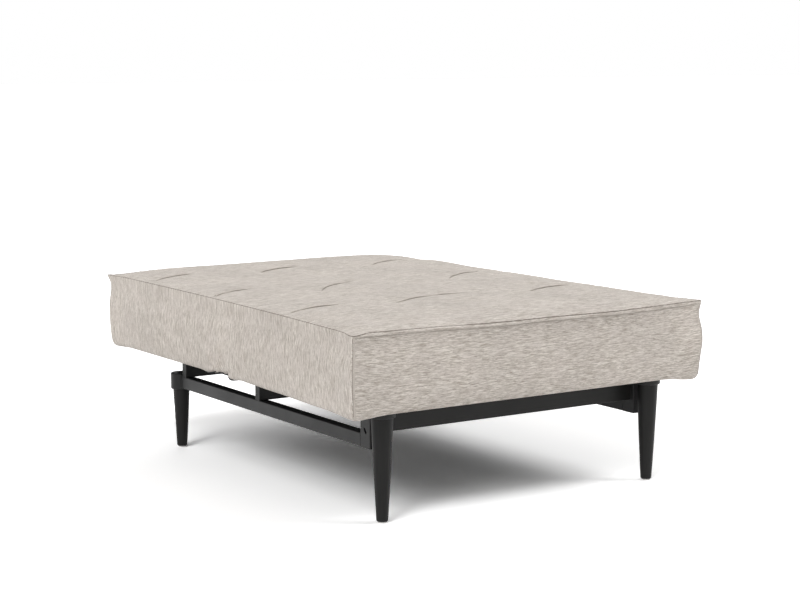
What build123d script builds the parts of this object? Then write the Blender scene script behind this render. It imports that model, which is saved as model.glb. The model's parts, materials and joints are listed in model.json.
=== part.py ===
from build123d import *
import math
import os

# Chair bed, shown lying flat. Lengths are in millimetres and angles in degrees.
# The origin is on the floor under the middle of the lying surface.
# -Y is the seat's front edge, +Y is the top of the backrest, +Z is up.

# Lying surface
mattress_width = 900.0
seat_length = 560.0
back_length = 590.0
seam_height = 400.0
pad_thickness = 169.0

# Form of the mattress
crown_rise = 9.0
crown_run = 150.0
seam_lip = 3.0
lip_height = 4.0
side_draw = 5.5
draw_drop = 30.0
bottom_edge = 18.0
seam_ear = 7.0
side_ear = 3.0
seam_corner = 7.0
side_corner = 24.0
crown_corner = 90.0

# Sewn tufts, short curved pleats in the top
tuft_length = 165.0
tuft_bow = 11.0
tuft_width = 16.0
tuft_depth = 5.5
tuft_lift = 3.0
tuft_turn = 19.0
tuft_column_shares = (-0.81, -0.18, 0.567)
tuft_row_shares = (-0.475, 0.065, 0.665)
tuft_shares = (0.15, 0.8, 1.0, 0.8, 0.15)

# Walls of the quilted covers round their cores
side_wall = 35.0
fold_wall = 18.0
quilt_thickness = 30.0
fold_edge = 16.0
fold_gap = 0.5
core_gap = 0.4
dust_cover = 1.0

# Steel frames in the pads
tube_size = 25.0
tube_wall = 1.5
frame_side_room = 17.0
plate_thickness = 5.0
cross_tube_shift = 3.0

# Zigzag springs and what lies on them
spring_count = 4
spring_wire = 4.0
spring_side_share = 0.388
spring_width_share = 0.588
spring_runs = 9
spring_bearing = 8.0
clip_width = 20.0
clip_wall = 2.0
felt_thickness = 2.0

# Folding hinge
hinge_drop = 20.0
fold_range = 72.0
plate_eye = 14.0
plate_reach = 60.0
plate_hold = 50.0
pin_radius = 5.0
pin_clearance = 0.05
pin_head_radius = 8.0
pin_head = 3.0
washer_radius = 10.0
washer_thickness = 1.0
end_play = 0.2
hinge_bolt_radius = 3.0
hinge_bolt_head_radius = 6.0
hinge_bolt_head = 4.0
pocket_clearance = 1.0
fold_strip_clearance = 2.0

# Ratchet: toothed edge of the backrest plates and the pawls that catch it
ratchet_steps = 3
ratchet_tip = 30.0
ratchet_root = 24.0
ratchet_gap = 8.0
catch_angle = -110.0
ratchet_margin = 10.0
pawl_turn = 12.0
pawl_arm = 28.0
pawl_line = 36.0
pawl_eye = 8.0
pawl_pin_radius = 4.0
pawl_bar = 7.0
pawl_tooth_width = 5.0
pawl_tooth_reach = 9.0
pawl_pin_head = 2.0

# Legs and glides
leg_side_inset = 98.5
front_leg_inset = 53.0
rear_leg_inset = 207.0
glide_thickness = 3.0
glide_radius = 10.0
glide_pin_radius = 2.0
glide_pin_length = 14.0
glide_edge = 1.0
leg_foot_radius = 12.2
leg_middle_radius = 19.5
leg_middle_share = 0.626
leg_top_radius = 23.2
leg_foot_edge = 1.5
spigot_radius = 14.8
spigot_clearance = 0.2
leg_bolt_radius = 4.0
leg_bolt_depth = 38.0

# Collars that hold the legs
front_collar_radius = 28.0
front_collar_height = 13.0
rear_collar_radius = 25.0
rear_collar_drop = 4.0
rear_collar_height = 39.0
collar_top = 5.0
collar_edge = 2.5
cap_radius = 12.0
cap_thickness = 1.0
bolt_head_radius = 7.0
bolt_head = 2.0
nut_radius = 7.5
nut_height = 6.5
stud_tail = 3.0

# Side rails and front brackets
rail_side_inset = 88.0
rail_thickness = 25.0
rail_drop = 84.0
rail_height = 29.0
rail_wall = 2.0
rail_edge = 2.0
bracket_inset = 82.5
bracket_length = 37.5
bracket_edge = 2.0
slot_width = 6.4
slot_run = 4.6
slot_drop = 6.2
slot_inset = 18.5
slot_height = 36.0
bracket_bolt_radius = 3.0
bracket_bolt_depth = 24.0
bracket_bolt_reach = 10.0
bracket_bolt_inset = 8.0

# Cross boards
board_thickness = 19.0
front_board_inset = 12.5
middle_board_shift = 20.0
rear_board_shift = 46.5
board_edge = 1.5
buffer_thickness = 3.0
buffer_radius = 9.0
buffer_inset = 62.0
rest_gap = 0.3
rail_screw_radius = 2.5
rail_screw_head_radius = 5.0
rail_screw_head = 2.5
rail_screw_bite = 30.0
dowel_radius = 4.0
dowel_half = 12.0
dowel_pitch = 26.0

# Angle cleats that tie the seat frame to its boards
cleat_width = 40.0
cleat_leg = 28.0
cleat_thickness = 3.0
cleat_inset = 117.0
cleat_screw_radius = 2.0
cleat_screw_head_radius = 4.0
cleat_screw_head = 1.5
cleat_screw_bite = 12.0

# How far cuts run past the faces that they open
overrun = 5.0

# Places worked out from the sizes above
half_width = mattress_width / 2
half_length = (seat_length + back_length) / 2
fold_y = seat_length - half_length
pad_bottom = seam_height - pad_thickness
crown_height = seam_height + crown_rise
frame_low = pad_bottom + dust_cover
frame_top = frame_low + tube_size
axis_height = seam_height - hinge_drop
core_top = seam_height - quilt_thickness
spring_axis_height = frame_top + spring_wire / 2
felt_low = frame_top + spring_wire + clip_wall
foam_low = felt_low + felt_thickness
cavity_half_width = half_width - side_wall
seat_frame_half_width = cavity_half_width - frame_side_room
back_frame_half_width = seat_frame_half_width + plate_thickness + washer_thickness
spring_spacing = 2 * (seat_frame_half_width - tube_size) / (spring_count + spring_side_share)
spring_width = spring_spacing * spring_width_share
leg_side = half_width - leg_side_inset
front_leg_y = front_leg_inset - half_length
rear_leg_y = half_length - rear_leg_inset
rail_outer = half_width - rail_side_inset
rail_inner = rail_outer - rail_thickness
rail_low = pad_bottom - rail_drop
rail_top = rail_low + rail_height
rear_collar_low = rail_low - rear_collar_drop
leg_top = pad_bottom - front_collar_height
leg_middle_height = leg_top * leg_middle_share
bracket_front_y = bracket_inset - half_length
front_board_y = bracket_front_y + front_board_inset
middle_board_y = fold_y - middle_board_shift
rear_board_y = rear_leg_y - rear_board_shift
rear_board_top = pad_bottom - rest_gap - buffer_thickness
buffer_side = rail_outer - buffer_inset
cleat_side = rail_inner - cleat_inset
ratchet_first = catch_angle + ratchet_margin
ratchet_last = catch_angle - fold_range - ratchet_margin
pocket_inner = seat_frame_half_width - pin_head - pocket_clearance
pocket_outer = back_frame_half_width + plate_thickness + end_play + pin_head + pocket_clearance
pocket_radius = pawl_line + pawl_bar + pawl_arm * math.sin(math.radians(pawl_turn))


def block(x_span, y_span, z_span):
    """A box between pairs of places."""
    spans = [sorted(span) for span in (x_span, y_span, z_span)]
    sizes = [high - low for low, high in spans]
    middles = [(low + high) / 2 for low, high in spans]
    return Pos(*middles) * Box(*sizes)


def upright(radius, low, high, x, y):
    """A cylinder that stands along Z."""
    return Pos(x, y, (low + high) / 2) * Cylinder(radius, high - low)


def crosswise(radius, ends, y, z):
    """A cylinder that lies along X."""
    low, high = sorted(ends)
    return Pos((low + high) / 2, y, z) * Rot(0, 90, 0) * Cylinder(radius, high - low)


def lengthwise(radius, ends, x, z):
    """A cylinder that lies along Y."""
    low, high = sorted(ends)
    return Pos(x, (low + high) / 2, z) * Rot(90, 0, 0) * Cylinder(radius, high - low)


def side_plate(outline, ends):
    """An outline drawn in Y and Z, given its thickness along X."""
    low, high = sorted(ends)
    return Pos(low, 0, 0) * extrude(Plane.YZ * outline, amount=high - low)


def sided(side, inner, outer):
    """The same pair of places on the left (-1) or right (1) side."""
    return (side * inner, side * outer)


def hold_end(direction):
    """Y and Z of the far point where a hinge plate is bolted to its tube."""
    return (fold_y + direction * (plate_reach + plate_hold), frame_low + tube_size / 2)


def plate_outline(direction, margin):
    """A hinge plate from its eye on the fold axis down to its tube."""
    foot_y = fold_y + direction * plate_reach
    far_y, foot_z = hold_end(direction)
    circles = Pos(fold_y, axis_height) * Circle(plate_eye + margin)
    circles += Pos(foot_y, foot_z) * Circle(tube_size / 2 + margin)
    circles += Pos(far_y, foot_z) * Circle(tube_size / 2 + margin)
    return make_hull(circles.edges())


def form_section(height, inset, ear, corner):
    """A level section of the mattress, its sides drawn in between its corners."""
    middle_x = half_width - inset
    middle_y = half_length - inset
    far_x = middle_x + ear
    far_y = middle_y + ear
    bite = corner * (1 - math.sqrt(0.5))
    edges = []
    for x_side, y_side in ((1, 1), (-1, -1)):
        edges.append(
            ThreePointArc(
                (x_side * far_x, y_side * (far_y - corner)),
                (x_side * (far_x - bite), y_side * (far_y - bite)),
                (x_side * (far_x - corner), y_side * far_y),
            )
        )
        edges.append(
            ThreePointArc(
                (x_side * (far_x - corner), y_side * far_y),
                (0, y_side * middle_y),
                (-x_side * (far_x - corner), y_side * far_y),
            )
        )
        edges.append(
            ThreePointArc(
                (-x_side * (far_x - corner), y_side * far_y),
                (-x_side * (far_x - bite), y_side * (far_y - bite)),
                (-x_side * far_x, y_side * (far_y - corner)),
            )
        )
        edges.append(
            ThreePointArc(
                (-x_side * far_x, y_side * (far_y - corner)),
                (-x_side * middle_x, 0),
                (-x_side * far_x, -y_side * (far_y - corner)),
            )
        )
    return Pos(0, 0, height) * make_face(edges)


def mattress_form():
    """The whole mattress: rounded underside, drawn-in sides, seam lip and crown."""
    sections = []
    for turn in (0, 30, 60, 90):
        height = pad_bottom + bottom_edge * (1 - math.cos(math.radians(turn)))
        inset = seam_lip / 2 + bottom_edge * (1 - math.sin(math.radians(turn)))
        sections.append(form_section(height, inset, side_ear, side_corner))
    middle = (pad_bottom + seam_height) / 2
    sections.append(form_section(middle, 0, side_ear, side_corner))
    draw_height = seam_height - draw_drop
    sections.append(form_section(draw_height, side_draw, side_ear, side_corner))
    lip_low = seam_height - lip_height
    sections.append(form_section(lip_low, seam_lip, seam_ear, seam_corner))
    sections.append(form_section(seam_height, 0, seam_ear, seam_corner))
    for turn in (20, 45, 70, 90):
        height = seam_height + crown_rise * math.sin(math.radians(turn))
        share = 1 - math.cos(math.radians(turn))
        inset = seam_lip + (crown_run - seam_lip) * share
        corner = seam_corner + crown_corner * share
        sections.append(form_section(height, inset, side_ear, corner))
    return loft(sections, ruled=True)


def fold_zone(direction):
    """All that lies on the seat's (-1) or backrest's (1) side of the fold."""
    top = crown_height + overrun
    low = pad_bottom - overrun
    edge = fold_y + direction * fold_gap
    lean = (top - axis_height) * math.tan(math.radians(fold_range / 2))
    far = fold_y + direction * 2 * half_length
    bite = fold_edge * (1 - math.sqrt(0.5))
    outline = make_face(
        [
            Line((far, low), (edge + direction * fold_edge, low)),
            Line((edge + direction * fold_edge, low), (edge + direction * fold_edge, pad_bottom)),
            ThreePointArc(
                (edge + direction * fold_edge, pad_bottom),
                (edge + direction * bite, pad_bottom + bite),
                (edge, pad_bottom + fold_edge),
            ),
            Line((edge, pad_bottom + fold_edge), (edge, axis_height)),
            Line((edge, axis_height), (edge + direction * lean, top)),
            Line((edge + direction * lean, top), (far, top)),
            Line((far, top), (far, low)),
        ]
    )
    return side_plate(outline, (-mattress_width, mattress_width))


def tuft_groove(x, y):
    """A curved pleat that is deepest in its middle and runs out at both ends."""
    sections = []
    last = len(tuft_shares) - 1
    for count, share in enumerate(tuft_shares):
        along = count / last
        offset = tuft_length * (along - 1 / 2)
        bow = 4 * tuft_bow * along * (1 - along)
        slope = 4 * tuft_bow * (1 - 2 * along) / tuft_length
        across = tuft_width * share / 2
        depth = (tuft_lift + tuft_depth) * share
        origin = (offset, bow, crown_height + tuft_lift)
        place = Plane(origin, x_dir=(-slope, 1, 0), z_dir=(1, slope, 0))
        outline = make_face(
            [
                ThreePointArc((-across, 0), (0, -depth), (across, 0)),
                Line((across, 0), (-across, 0)),
            ]
        )
        sections.append(place * outline)
    return Pos(x, y, 0) * Rot(0, 0, tuft_turn) * loft(sections)


def hinge_pockets(direction):
    """Room in a pad for the hinge plates, the toothed edge and the pawls."""
    room = plate_outline(direction, pocket_clearance)
    swing = Pos(fold_y, axis_height) * Circle(pocket_radius)
    top = axis_height + ratchet_tip * math.sin(math.radians(ratchet_last)) + pocket_clearance
    over = pocket_radius + overrun
    swing -= Pos(fold_y, top + over / 2) * Rectangle(2 * over, over)
    pockets = []
    for side in (-1, 1):
        for outline in (room, swing):
            pockets.append(side_plate(outline, sided(side, pocket_inner, pocket_outer)))
    return pockets


def cavity_span(direction):
    """Low and high Y of the hollow inside a pad."""
    near = fold_y + direction * fold_wall
    far = direction * (half_length - side_wall)
    return tuple(sorted((near, far)))


def cover(form, direction):
    """The quilted cover of the seat or the backrest, hollow for its core and frame."""
    body = form & fold_zone(direction)
    low, high = cavity_span(direction)
    body -= block(
        (-cavity_half_width, cavity_half_width), (low, high), (pad_bottom - overrun, core_top)
    )
    body -= hinge_pockets(direction)
    for row_share in tuft_row_shares:
        row = row_share * half_length
        if (row - fold_y) * direction > 0:
            for column_share in tuft_column_shares:
                body -= tuft_groove(column_share * half_width, row)
    return body


def fold_strip(form):
    """The part of the mattress top over the fold, which is squeezed as the back rises."""
    low = axis_height + plate_eye + fold_strip_clearance
    lean = math.tan(math.radians(fold_range / 2))
    top = crown_height + overrun
    half_low = (low - axis_height) * lean - fold_gap
    half_top = (top - axis_height) * lean - fold_gap
    outline = make_face(
        Polyline(
            (fold_y - half_low, low),
            (fold_y + half_low, low),
            (fold_y + half_top, top),
            (fold_y - half_top, top),
            close=True,
        )
    )
    return form & side_plate(outline, (-mattress_width, mattress_width))


def foam_core(direction):
    """The foam block on the springs, notched where the hinge plates stand."""
    low, high = cavity_span(direction)
    half = cavity_half_width - core_gap
    body = block((-half, half), (low + core_gap, high - core_gap), (foam_low, core_top - core_gap))
    return body - hinge_notches(direction)


def felt_sheet(direction):
    """The felt between the springs and the foam."""
    low, high = cavity_span(direction)
    half = cavity_half_width - core_gap
    body = block((-half, half), (low + core_gap, high - core_gap), (felt_low, foam_low))
    return body - hinge_notches(direction)


def hinge_notches(direction):
    """Corner notches that leave the hinge plates and their bolt heads free."""
    far_y = hold_end(direction)[0] + direction * tube_size
    return [
        block(sided(side, pocket_inner, half_width), (fold_y, far_y), (frame_low, core_top + overrun))
        for side in (-1, 1)
    ]


def square_tube(x_span, y_span, along):
    """A hollow square tube of the pad frames that runs along X or Y."""
    z_span = (frame_low, frame_top)
    body = block(x_span, y_span, z_span)
    bore = [sorted(span) for span in (x_span, y_span, z_span)]
    for index, (low, high) in enumerate(bore):
        shift = -overrun if index == along else tube_wall
        bore[index] = (low + shift, high - shift)
    return body - block(*bore)


def pad_frame(direction, half, end_tube_y, cross_tube_y):
    """The tubes of one pad frame, in order: fold tube, end tube, cross tube, left, right."""
    near = fold_y + direction * (fold_wall + core_gap)
    fold_span = (near, near + direction * tube_size)
    end_span = (end_tube_y - tube_size / 2, end_tube_y + tube_size / 2)
    cross_span = (cross_tube_y - tube_size / 2, cross_tube_y + tube_size / 2)
    side_span = (fold_span[1], end_tube_y - direction * tube_size / 2)
    tubes = [
        square_tube((-half, half), fold_span, 0),
        square_tube((-half, half), end_span, 0),
        square_tube((tube_size - half, half - tube_size), cross_span, 0),
    ]
    for side in (-1, 1):
        tubes.append(square_tube(sided(side, half - tube_size, half), side_span, 1))
    return tubes


def spring_places():
    """X of each zigzag spring."""
    return [(count - (spring_count - 1) / 2) * spring_spacing for count in range(spring_count)]


def spring_ends(direction, end_tube_y):
    """Y of the first and last run of a zigzag spring, over the fold tube and the end tube."""
    near = fold_y + direction * (fold_wall + core_gap + spring_bearing)
    return near, end_tube_y


def zigzag_spring(x, start, end):
    """A wire that runs to and fro across X from one tube to the other."""
    pitch = (end - start) / (spring_runs - 1)
    points = []
    for run in range(spring_runs):
        y = start + run * pitch
        half = spring_width / 2 if run % 2 else -spring_width / 2
        points.append((x - half, y, spring_axis_height))
        points.append((x + half, y, spring_axis_height))
    path = FilletPolyline(*points, radius=abs(pitch) * 0.45)
    section = Plane(path @ 0, z_dir=path % 0) * Circle(spring_wire / 2)
    return sweep(section, path=path)


def spring_clip(x, y):
    """A bridge-shaped clip over the first or last run of a spring on its tube."""
    width = spring_wire + 2 * clip_wall
    body = block(
        (x - clip_width / 2, x + clip_width / 2), (y - width / 2, y + width / 2), (frame_top, felt_low)
    )
    past = (x - clip_width, x + clip_width)
    body -= block(past, (y - spring_wire / 2, y + spring_wire / 2), (frame_low, spring_axis_height))
    return body - crosswise(spring_wire / 2, past, y, spring_axis_height)


def hinge_bolt_places(direction):
    """Y of the two bolts of a hinge plate."""
    return [fold_y + direction * plate_reach, hold_end(direction)[0]]


def hinge_bolt_holes(direction, ends):
    """Holes for the two bolts of one hinge plate."""
    z = frame_low + tube_size / 2
    return [crosswise(hinge_bolt_radius, ends, y, z) for y in hinge_bolt_places(direction)]


def hinge_bolts(direction, half):
    """The bolts that hold both plates of one pad to its frame."""
    z = frame_low + tube_size / 2
    bolts = []
    for side in (-1, 1):
        face = half + plate_thickness
        for y in hinge_bolt_places(direction):
            bolt = crosswise(hinge_bolt_radius, sided(side, half - tube_size, face), y, z)
            bolt += crosswise(hinge_bolt_head_radius, sided(side, face, face + hinge_bolt_head), y, z)
            bolts.append(bolt)
    return bolts


def pawl_place():
    """Y and Z of a pawl's pin."""
    turn = math.radians(catch_angle)
    y = fold_y + pawl_line * math.cos(turn) + pawl_arm * math.sin(turn)
    z = axis_height + pawl_line * math.sin(turn) - pawl_arm * math.cos(turn)
    return y, z


def seat_plate(side):
    """The fixed hinge plate, which carries the fold pin and the pawl pin."""
    inner = seat_frame_half_width
    y, z = pawl_place()
    outline = plate_outline(-1, 0)
    lug = Pos(fold_y, axis_height) * Circle(plate_eye) + Pos(y, z) * Circle(pawl_eye)
    outline += make_hull(lug.edges())
    outline -= Pos(fold_y, axis_height) * Circle(pin_radius)
    outline -= Pos(y, z) * Circle(pawl_pin_radius)
    ends = sided(side, inner, inner + plate_thickness)
    past = sided(side, inner - overrun, inner + plate_thickness + overrun)
    return side_plate(outline, ends) - hinge_bolt_holes(-1, past)


def back_plate(side):
    """The moving hinge plate, with a toothed edge round the fold pin."""
    inner = back_frame_half_width
    step = fold_range / ratchet_steps
    outline = plate_outline(1, 0)
    edge = [(0, 0)]
    sweep_steps = ratchet_steps * 4
    for count in range(sweep_steps + 1):
        turn = math.radians(ratchet_first + (ratchet_last - ratchet_first) * count / sweep_steps)
        edge.append((2 * ratchet_tip * math.cos(turn), 2 * ratchet_tip * math.sin(turn)))
    wedge = Pos(fold_y, axis_height) * make_face(Polyline(*edge, close=True))
    outline += wedge & (Pos(fold_y, axis_height) * Circle(ratchet_tip))
    for count in range(ratchet_steps + 1):
        turn = catch_angle - count * step
        gap = Pos((ratchet_root + ratchet_tip) / 2 + overrun / 2, 0) * Rectangle(
            ratchet_tip - ratchet_root + overrun, ratchet_gap
        )
        outline -= Pos(fold_y, axis_height) * Rot(0, 0, turn) * gap
    outline -= Pos(fold_y, axis_height) * Circle(pin_radius + pin_clearance)
    ends = sided(side, inner, inner + plate_thickness)
    past = sided(side, inner - overrun, inner + plate_thickness + overrun)
    return side_plate(outline, ends) - hinge_bolt_holes(1, past)


def fold_pin(side):
    """The headed pin that both hinge plates turn on."""
    inner = seat_frame_half_width
    outer = back_frame_half_width + plate_thickness + end_play
    body = crosswise(pin_radius, sided(side, inner, outer), fold_y, axis_height)
    heads = (inner - pin_head, inner), (outer, outer + pin_head)
    for head in heads:
        body += crosswise(pin_head_radius, sided(side, *head), fold_y, axis_height)
    return body


def fold_washer(side):
    """The washer that keeps the hinge plates apart."""
    inner = seat_frame_half_width + plate_thickness
    ends = sided(side, inner, inner + washer_thickness)
    body = crosswise(washer_radius, ends, fold_y, axis_height)
    return body - crosswise(pin_radius, (ends[0] - overrun, ends[1] + overrun), fold_y, axis_height)


def pawl(side):
    """A pawl, drawn parked clear of the teeth; it swings in by its full turn."""
    y, z = pawl_place()
    bar = Circle(pawl_eye)
    tooth_place = pawl_arm - pawl_tooth_width / 2, pawl_arm + pawl_tooth_width / 2
    bar += make_face(
        Polyline(
            (0, -pawl_bar / 2),
            (tooth_place[1], -pawl_bar / 2),
            (tooth_place[1], pawl_tooth_reach),
            (tooth_place[0], pawl_tooth_reach),
            (tooth_place[0], pawl_bar / 2),
            (0, pawl_bar / 2),
            close=True,
        )
    )
    bar -= Circle(pawl_pin_radius + pin_clearance)
    outline = Pos(y, z) * Rot(0, 0, catch_angle + 90 - pawl_turn) * bar
    inner = back_frame_half_width
    return side_plate(outline, sided(side, inner, inner + plate_thickness))


def pawl_pin(side):
    """The pin that a pawl turns on, with a spacer shoulder against the seat plate."""
    y, z = pawl_place()
    inner = seat_frame_half_width
    outer = back_frame_half_width + plate_thickness + end_play
    shoulder = inner + plate_thickness, inner + plate_thickness + washer_thickness - end_play
    body = crosswise(pawl_pin_radius, sided(side, inner, outer), y, z)
    body += crosswise(pawl_eye, sided(side, *shoulder), y, z)
    return body + crosswise(pawl_eye, sided(side, outer, outer + pawl_pin_head), y, z)


def dust_sheet(direction, holes):
    """The thin black cloth that closes a pad's underside."""
    low, high = cavity_span(direction)
    half = cavity_half_width - core_gap
    body = block((-half, half), (low + core_gap, high - core_gap), (pad_bottom, frame_low))
    for radius, x, y in holes:
        body -= upright(radius, pad_bottom - overrun, frame_low + overrun, x, y)
    return body


def leg_blank(top):
    """A round leg that swells from its foot, up to the given height."""
    outline = make_face(
        [
            Line((0, glide_thickness), (leg_foot_radius, glide_thickness)),
            ThreePointArc(
                (leg_foot_radius, glide_thickness),
                (leg_middle_radius, leg_middle_height),
                (leg_top_radius, leg_top),
            ),
            Line((leg_top_radius, leg_top), (0, leg_top)),
            Line((0, leg_top), (0, glide_thickness)),
        ]
    )
    body = revolve(Plane.XZ * outline, axis=Axis.Z)
    body &= upright(2 * leg_top_radius, 0, top, 0, 0)
    return chamfer(body.edges().sort_by(Axis.Z)[0], leg_foot_edge)


def leg(side, y, shoulder, collar_height):
    """A leg with the spigot that goes into its collar."""
    spigot_top = shoulder + collar_height - collar_top - spigot_clearance
    x = side * leg_side
    body = Pos(x, y, 0) * leg_blank(shoulder)
    body += upright(spigot_radius, shoulder, spigot_top, x, y)
    body -= upright(glide_pin_radius, 0, glide_thickness + glide_pin_length, x, y)
    return body - upright(leg_bolt_radius, spigot_top - leg_bolt_depth, spigot_top + overrun, x, y)


def glide(x, y):
    """A pale floor pad with the pin that holds it in its leg."""
    disc = upright(glide_radius, 0, glide_thickness, x, y)
    disc = chamfer(disc.edges().group_by(Axis.Z)[0], glide_edge)
    return disc + upright(glide_pin_radius, glide_thickness, glide_thickness + glide_pin_length, x, y)


def collar(x, y, radius, low, height):
    """A cup that a leg's spigot goes up into, with a bolt hole in its top."""
    top = low + height
    body = fillet(upright(radius, low, top, x, y).edges(), collar_edge)
    socket = spigot_radius + spigot_clearance
    body -= upright(socket, low - overrun, top - collar_top, x, y)
    return body - upright(leg_bolt_radius, low, top + overrun, x, y)


def rear_leg_bolt(x, y):
    """The bolt with its washer on top of a rear collar."""
    top = rear_collar_low + rear_collar_height
    spigot_top = top - collar_top - spigot_clearance
    body = upright(leg_bolt_radius, spigot_top - leg_bolt_depth, top + cap_thickness, x, y)
    body += upright(cap_radius, top, top + cap_thickness, x, y)
    head = upright(bolt_head_radius, top + cap_thickness, top + cap_thickness + bolt_head, x, y)
    return body + fillet(head.edges().sort_by(Axis.Z)[-1], bolt_head / 2)


def front_leg_stud(x, y):
    """The stud that ties a front leg to the seat frame's front tube."""
    spigot_top = pad_bottom - collar_top - spigot_clearance
    nut_top = frame_low + tube_wall + nut_height
    return upright(leg_bolt_radius, spigot_top - leg_bolt_depth, nut_top + stud_tail, x, y)


def front_leg_nut(x, y):
    """The six-sided nut on a front leg's stud, inside the front tube."""
    low = frame_low + tube_wall
    body = Pos(x, y, low) * extrude(RegularPolygon(nut_radius, 6), amount=nut_height)
    return body - upright(leg_bolt_radius, low - overrun, low + nut_height + overrun, x, y)


def rail_screw_places(side):
    """X and Y of the screws that come up through a rail into its boards."""
    x = side * (rail_outer - rail_thickness / 2)
    return [(x, board + board_thickness / 2) for board in (middle_board_y, rear_board_y)]


def rail(side):
    """A side rail: a rectangular tube, coped at its rear end to the leg's collar."""
    z_span = (rail_low, rail_top)
    front = bracket_front_y + bracket_length
    x_span = sided(side, rail_inner, rail_outer)
    body = block(x_span, (front, rear_leg_y), z_span)
    body = fillet(body.edges().filter_by(Axis.Y), rail_edge)
    body -= block(
        sided(side, rail_inner + rail_wall, rail_outer - rail_wall),
        (front - overrun, rear_leg_y),
        (rail_low + rail_wall, rail_top - rail_wall),
    )
    x = side * leg_side
    body -= upright(rear_collar_radius, rail_low - overrun, rail_top + overrun, x, rear_leg_y)
    body -= block(x_span, (rear_leg_y - collar_edge, rear_leg_y + overrun), z_span)
    for screw_x, screw_y in rail_screw_places(side):
        body -= upright(rail_screw_radius, rail_low - overrun, rail_top + overrun, screw_x, screw_y)
    return body.solids().sort_by(SortBy.VOLUME)[-1]


def rail_screw(x, y):
    """A screw from under a rail up into a board."""
    body = upright(rail_screw_radius, rail_low, rail_top + rail_screw_bite, x, y)
    return body + upright(rail_screw_head_radius, rail_low - rail_screw_head, rail_low, x, y)


def bracket_bolt_place(side):
    """X and Y of the bolt from a bracket into the seat frame."""
    x = side * (rail_outer - rail_thickness / 2)
    return x, bracket_front_y + bracket_length - bracket_bolt_inset


def dowel_heights():
    """Z of the dowels between a bracket and the front board."""
    middle = (rail_top + pad_bottom) / 2
    return [middle - dowel_pitch / 2, middle + dowel_pitch / 2]


def front_dowels(side, ends):
    """Dowels, or their holes, between a bracket and an end of the front board."""
    y = front_board_y + board_thickness / 2
    return [crosswise(dowel_radius, sided(side, *ends), y, z) for z in dowel_heights()]


def bracket(side):
    """The post at a rail's front end, with its slanted slot."""
    x_span = sided(side, rail_inner, rail_outer)
    y_span = (bracket_front_y, bracket_front_y + bracket_length)
    body = block(x_span, y_span, (rail_low, pad_bottom))
    body = fillet(body.edges().filter_by(Axis.Z), bracket_edge)
    y = bracket_front_y + slot_inset
    z = rail_low + slot_height
    slot = SlotCenterPoint((0, 0), (math.hypot(slot_run, slot_drop) / 2, 0), slot_width)
    lean = math.degrees(math.atan2(slot_drop, slot_run))
    slot = Pos(y, z) * Rot(0, 0, lean) * slot
    past = sided(side, rail_inner - overrun, rail_outer + overrun)
    body -= side_plate(slot, past)
    body -= front_dowels(side, (rail_inner - overrun, rail_inner + dowel_half))
    bolt_x, bolt_y = bracket_bolt_place(side)
    low = pad_bottom - bracket_bolt_depth
    return body - upright(bracket_bolt_radius, low, pad_bottom + overrun, bolt_x, bolt_y)


def bracket_bolt(side):
    """The bolt that ties a bracket up to the cross tube."""
    x, y = bracket_bolt_place(side)
    low = pad_bottom - bracket_bolt_depth
    return upright(bracket_bolt_radius, low, frame_low + bracket_bolt_reach, x, y)


def board(half, low_y, top):
    """A cross board on edge on the rails."""
    body = block((-half, half), (low_y, low_y + board_thickness), (rail_top, top))
    return fillet(body.edges().filter_by(Axis.X), board_edge)


def cleat_places():
    """X, board face and direction of each angle cleat."""
    places = []
    for side in (-1, 1):
        places.append((side * cleat_side, front_board_y + board_thickness, 1))
        places.append((side * cleat_side, middle_board_y, -1))
    return places


def cleat(x, face, direction):
    """An angle cleat screwed to a board and up to the seat frame."""
    x_span = (x - cleat_width / 2, x + cleat_width / 2)
    low = pad_bottom - cleat_leg
    body = block(x_span, (face, face + direction * cleat_thickness), (low, pad_bottom))
    body += block(x_span, (face, face + direction * cleat_leg), (pad_bottom - cleat_thickness, pad_bottom))
    return body - cleat_screws(x, face, direction)


def cleat_screws(x, face, direction):
    """The screw into the board and the screw into the tube above."""
    tube_y = face + direction * (cleat_leg / 2)
    outer = face + direction * cleat_thickness
    z = pad_bottom - cleat_leg * 2 / 3
    under = pad_bottom - cleat_thickness
    first = lengthwise(cleat_screw_radius, (face - direction * cleat_screw_bite, outer), x, z)
    first += lengthwise(cleat_screw_head_radius, (outer, outer + direction * cleat_screw_head), x, z)
    second = upright(cleat_screw_radius, under, frame_low + tube_wall, x, tube_y)
    second += upright(cleat_screw_head_radius, under - cleat_screw_head, under, x, tube_y)
    return [first, second]


def seat_screw_holes():
    """Radius, X and Y of what comes up through the seat's dust cover."""
    holes = [(cleat_screw_radius, x, face + way * cleat_leg / 2) for x, face, way in cleat_places()]
    for side in (-1, 1):
        holes.append((bracket_bolt_radius, *bracket_bolt_place(side)))
        holes.append((leg_bolt_radius, side * leg_side, front_leg_y))
    return holes


def bored(body, holes, low, high):
    """A body with upright holes between two heights."""
    for radius, x, y in holes:
        body -= upright(radius, low, high, x, y)
    return body


def save(name, shapes):
    """Write one named piece, or one group of like pieces."""
    shapes = shapes if isinstance(shapes, list) else [shapes]
    solids = [solid for shape in shapes for solid in shape.solids()]
    shape = solids[0] if len(solids) == 1 else Compound(children=solids)
    shape.label = name
    export_step(shape, f"parts/{name}.step")
    print(name, len(solids), round(sum(solid.volume for solid in solids)))


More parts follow.
